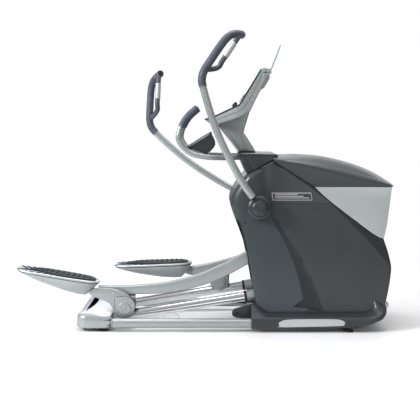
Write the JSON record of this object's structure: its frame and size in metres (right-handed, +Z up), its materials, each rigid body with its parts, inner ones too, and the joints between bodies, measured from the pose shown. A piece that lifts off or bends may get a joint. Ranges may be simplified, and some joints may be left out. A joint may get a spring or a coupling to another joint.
{
  "type": "elliptical trainer",
  "caption": "Front-drive elliptical trainer with roller foot links on sloping rails, swinging handles, fixed handlebars and a console.",
  "frame": {"origin": "on the floor, at the middle of the whole machine's length and width", "axes": "+X towards the drive end that the user faces, +Y to the user's left, +Z up"},
  "size_m": [2.0275, 0.7034, 1.6002],
  "materials": {
    "silver_paint": "satin light silver-grey paint with fine metallic fleck",
    "slate_shell": "satin dark slate plastic",
    "dark_trim": "fine-grained near-black plastic",
    "accent_silver": "silver-lacquered plastic",
    "grip_rubber": "soft blue-grey grip rubber",
    "chrome": "bright chromed steel",
    "black_rubber": "black rubber",
    "steel": "turned and brushed steel",
    "cast_iron": "machined cast iron",
    "casting_grey": "glossy light lavender-grey cover",
    "pedal_grey": "light grey moulded plastic",
    "tread_rubber": "dark slate rubber tread",
    "console_black": "glossy black console face",
    "console_grey": "light grey moulded plastic",
    "switch_orange": "orange plastic"
  },
  "bodies": {
    "frame": {"accessory_tray": "dark_trim", "base_skirt": "dark_trim", "console_face": "console_black", "console_housing": "console_grey", "drive_belt": "black_rubber", "drive_frame": "steel", "left_accent_panel": "accent_silver", "left_base_tube": "silver_paint", "left_fixed_grip": "grip_rubber", "left_fixed_handlebar": "silver_paint", "left_front_foot": "black_rubber", "left_rail": "chrome", "left_rear_foot": "black_rubber", "left_side_shell": "slate_shell", "mast": "silver_paint", "neck_collar": "dark_trim", "pivot_shaft": "steel", "reading_rack": "console_grey", "rear_casting": "casting_grey", "right_accent_panel": "accent_silver", "right_base_tube": "silver_paint", "right_fixed_grip": "grip_rubber", "right_fixed_handlebar": "silver_paint", "right_front_foot": "black_rubber", "right_rail": "chrome", "right_rear_foot": "black_rubber", "right_side_shell": "slate_shell", "top_lid": "slate_shell"},
    "crank": {"crank_axle": "steel", "drive_pulley": "black_rubber", "right_crank_arm": "steel", "left_crank_arm": "steel"},
    "flywheel": {"flywheel": "cast_iron"},
    "idler": {"idler_pulley": "steel"},
    "right_carriage": {"right_roller_axle": "steel"},
    "right_roller_body": {"right_roller": "black_rubber"},
    "right_foot_link": {"right_link_bar": "silver_paint", "right_roller_bracket": "steel", "right_roller_cover": "silver_paint", "right_pedal_base": "pedal_grey", "right_pedal_tread": "tread_rubber"},
    "right_handle": {"right_handle_tube": "silver_paint", "right_handle_grip": "grip_rubber", "right_hub": "dark_trim", "right_rocker_lever": "steel"},
    "right_drag": {"right_drag_link": "steel"},
    "right_switch": {"right_thumb_switch": "switch_orange"},
    "left_carriage": {"left_roller_axle": "steel"},
    "left_roller_body": {"left_roller": "black_rubber"},
    "left_foot_link": {"left_link_bar": "silver_paint", "left_roller_bracket": "steel", "left_roller_cover": "silver_paint", "left_pedal_base": "pedal_grey", "left_pedal_tread": "tread_rubber"},
    "left_handle": {"left_handle_tube": "silver_paint", "left_handle_grip": "grip_rubber", "left_hub": "dark_trim", "left_rocker_lever": "steel"},
    "left_drag": {"left_drag_link": "steel"},
    "left_switch": {"left_thumb_switch": "switch_orange"}
  },
  "joints": [
    {"name": "right_stride", "type": "slide", "parent": "frame", "child": "right_carriage", "axis": [0.9874, 0, 0.1582], "range_m": [0, 0.52752]},
    {"name": "left_stride", "type": "slide", "parent": "frame", "child": "left_carriage", "axis": [0.9874, 0, 0.1582], "range_m": [-0.5277, 0]},
    {"name": "right_link_tilt", "type": "hinge", "parent": "right_carriage", "child": "right_foot_link", "pos_m": [-0.42987, 0, 0.11771], "axis": [0, -1, 0], "range_deg": [0, 11.73]},
    {"name": "right_roller_spin", "type": "hinge", "parent": "right_carriage", "child": "right_roller_body", "pos_m": [-0.42987, -0.165, 0.11771], "axis": [0, 1, 0], "continuous": true},
    {"name": "right_swing", "type": "hinge", "parent": "frame", "child": "right_handle", "pos_m": [0.2982, 0, 0.667], "axis": [0, 1, 0], "range_deg": [-31.01, 0]},
    {"name": "right_drag_turn", "type": "hinge", "parent": "right_handle", "child": "right_drag", "pos_m": [0.2982, 0, 0.417], "axis": [0, 1, 0], "range_deg": [0, 33.18]},
    {"name": "right_switch_press", "type": "slide", "parent": "right_handle", "child": "right_switch", "axis": [0.892, -0.452, 0], "range_m": [0, 0.0015], "stiffness_N_per_m": 300},
    {"name": "left_link_tilt", "type": "hinge", "parent": "left_carriage", "child": "left_foot_link", "pos_m": [0.091, 0, 0.20114], "axis": [0, -1, 0], "range_deg": [-11.73, 0]},
    {"name": "left_roller_spin", "type": "hinge", "parent": "left_carriage", "child": "left_roller_body", "pos_m": [0.091, 0.165, 0.20114], "axis": [0, 1, 0], "continuous": true},
    {"name": "left_swing", "type": "hinge", "parent": "frame", "child": "left_handle", "pos_m": [0.2982, 0, 0.667], "axis": [0, 1, 0], "range_deg": [0, 31.01]},
    {"name": "left_drag_turn", "type": "hinge", "parent": "left_handle", "child": "left_drag", "pos_m": [0.42696, 0, 0.45271], "axis": [0, 1, 0], "range_deg": [-33.18, 0]},
    {"name": "left_switch_press", "type": "slide", "parent": "left_handle", "child": "left_switch", "axis": [0.7646, 0.452, 0.4594], "range_m": [0, 0.0015], "stiffness_N_per_m": 300},
    {"name": "crank_turn", "type": "hinge", "parent": "frame", "child": "crank", "pos_m": [0.6202, 0, 0.575], "axis": [0, 1, 0], "continuous": true},
    {"name": "flywheel_spin", "type": "hinge", "parent": "frame", "child": "flywheel", "pos_m": [0.8452, 0, 0.32], "axis": [0, 1, 0], "continuous": true},
    {"name": "idler_spin", "type": "hinge", "parent": "frame", "child": "idler", "pos_m": [0.86368, 0, 0.44892], "axis": [0, 1, 0], "continuous": true}
  ],
  "couplings": [
    {"joint": "left_stride", "follows": "right_stride", "ratio": -1},
    {"joint": "right_link_tilt", "follows": "right_stride", "rad_per_m": 0.38761},
    {"joint": "right_roller_spin", "follows": "right_stride", "rad_per_m": 41.667},
    {"joint": "right_swing", "follows": "right_stride", "rad_per_m": -1.0257},
    {"joint": "right_drag_turn", "follows": "right_stride", "rad_per_m": 1.0975},
    {"joint": "left_link_tilt", "follows": "right_stride", "rad_per_m": -0.38761},
    {"joint": "left_roller_spin", "follows": "right_stride", "rad_per_m": -41.667},
    {"joint": "left_swing", "follows": "right_stride", "rad_per_m": 1.0257},
    {"joint": "left_drag_turn", "follows": "right_stride", "rad_per_m": -1.0975},
    {"joint": "crank_turn", "follows": "right_stride", "rad_per_m": 5.9554},
    {"joint": "flywheel_spin", "follows": "right_stride", "rad_per_m": 33.748},
    {"joint": "idler_spin", "follows": "right_stride", "rad_per_m": -46.019}
  ]
}
